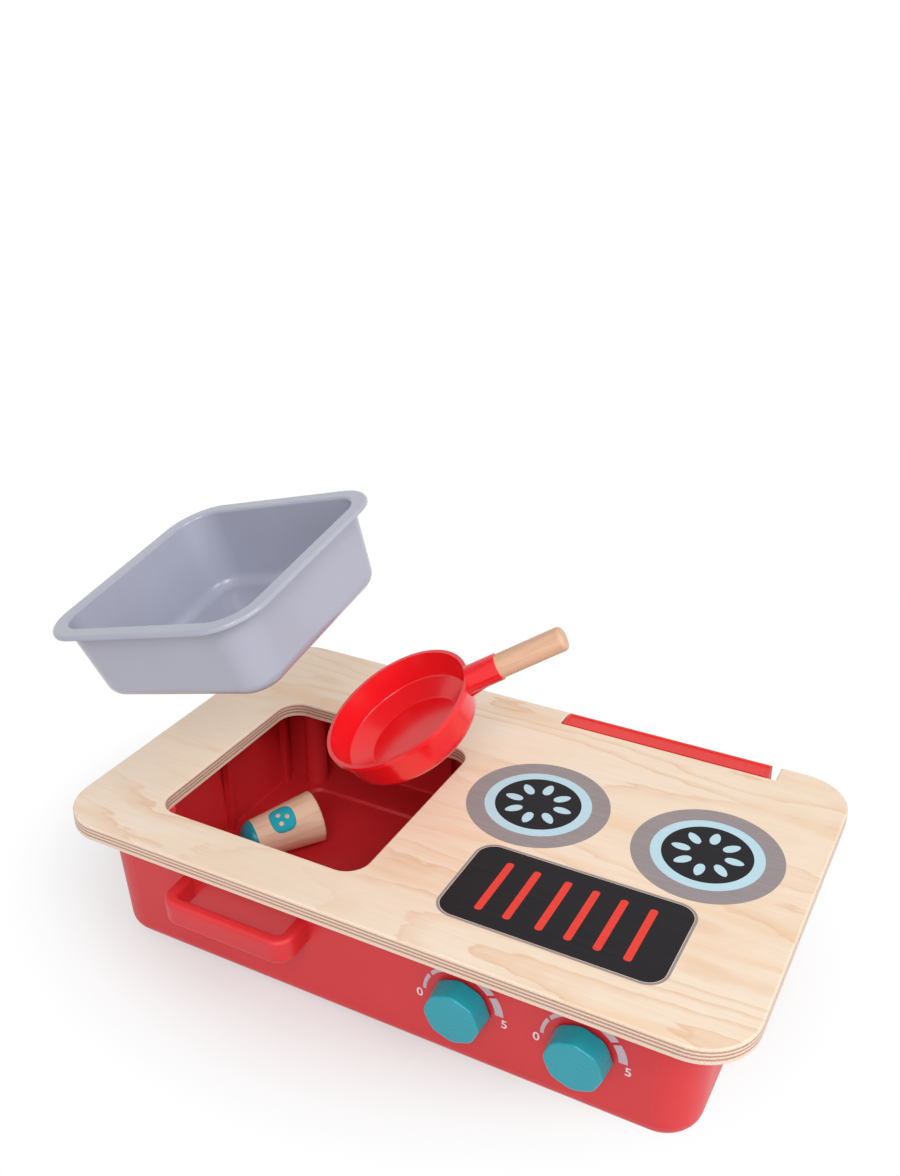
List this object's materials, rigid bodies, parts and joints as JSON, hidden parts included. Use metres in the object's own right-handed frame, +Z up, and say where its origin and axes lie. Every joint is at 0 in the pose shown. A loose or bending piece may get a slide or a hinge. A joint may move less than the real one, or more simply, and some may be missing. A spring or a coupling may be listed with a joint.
{
  "type": "tabletop play kitchen",
  "caption": "Tabletop play kitchen: plywood top on a moulded tub, turning control knobs, front grip, lift-out basin, toy pan with dowel handle and a turned shaker.",
  "frame": {"origin": "on the surface it stands on, under the middle of the worktop", "axes": "+X to the user's right, +Y away from the user, +Z up"},
  "size_m": [0.4, 0.2481, 0.2567],
  "materials": {
    "red_tub": "satin moulded",
    "birch_ply": "clear matt lacquer on birch plywood",
    "steel": "plated",
    "red_rail": "satin moulded",
    "teal_knob": "gloss moulded",
    "dark_ring": "matt",
    "white_plastic": "natural",
    "grey_basin": "satin moulded",
    "red_pan": "gloss lacquer",
    "beech_dowel": "clear matt lacquer",
    "shaker_wood": "clear matt lacquer",
    "teal_cap": "gloss"
  },
  "bodies": {
    "base": {"tub": "red_tub", "worktop": "birch_ply", "worktop_screws": "steel", "front_handle": "red_tub", "handle_screws": "steel", "rear_rail": "red_rail", "rear_rail_screws": "steel", "knob_ring_left": "dark_ring", "knob_ring_right": "dark_ring"},
    "left_knob": {"knob_left": "teal_knob", "knob_washer_left": "white_plastic", "knob_screw_left": "steel"},
    "right_knob": {"knob_right": "teal_knob", "knob_washer_right": "white_plastic", "knob_screw_right": "steel"},
    "basin": {"basin": "grey_basin"},
    "pan": {"pan_bowl": "red_pan", "pan_handle": "beech_dowel"},
    "shaker": {"shaker_body": "shaker_wood", "shaker_cap": "teal_cap"}
  },
  "joints": [
    {"name": "left_knob_turn", "type": "hinge", "parent": "base", "child": "left_knob", "pos_m": [0.055, -0.10517, 0.04509], "axis": [0, 0.9974, 0.0718], "range_deg": [0, 180]},
    {"name": "right_knob_turn", "type": "hinge", "parent": "base", "child": "right_knob", "pos_m": [0.12, -0.10517, 0.04509], "axis": [0, 0.9974, 0.0718], "range_deg": [0, 180]},
    {"name": "basin_lift", "type": "hinge", "parent": "base", "child": "basin", "pos_m": [-0.60286, -0.01701, 0.00583], "axis": [-0.5193, 0.8545, 0.0126], "range_deg": [0, 19.14]},
    {"name": "pan_lift", "type": "hinge", "parent": "base", "child": "pan", "pos_m": [0.05116, -0.14395, 0.02051], "axis": [-0.1778, 0.5526, -0.8143], "range_deg": [0, 53.48]},
    {"name": "shaker_slide", "type": "slide", "parent": "base", "child": "shaker", "axis": [1, 0, 0], "range_m": [0, 0.06]}
  ],
  "couplings": [
    {"joint": "pan_lift", "follows": "basin_lift", "ratio": 2.7937}
  ]
}
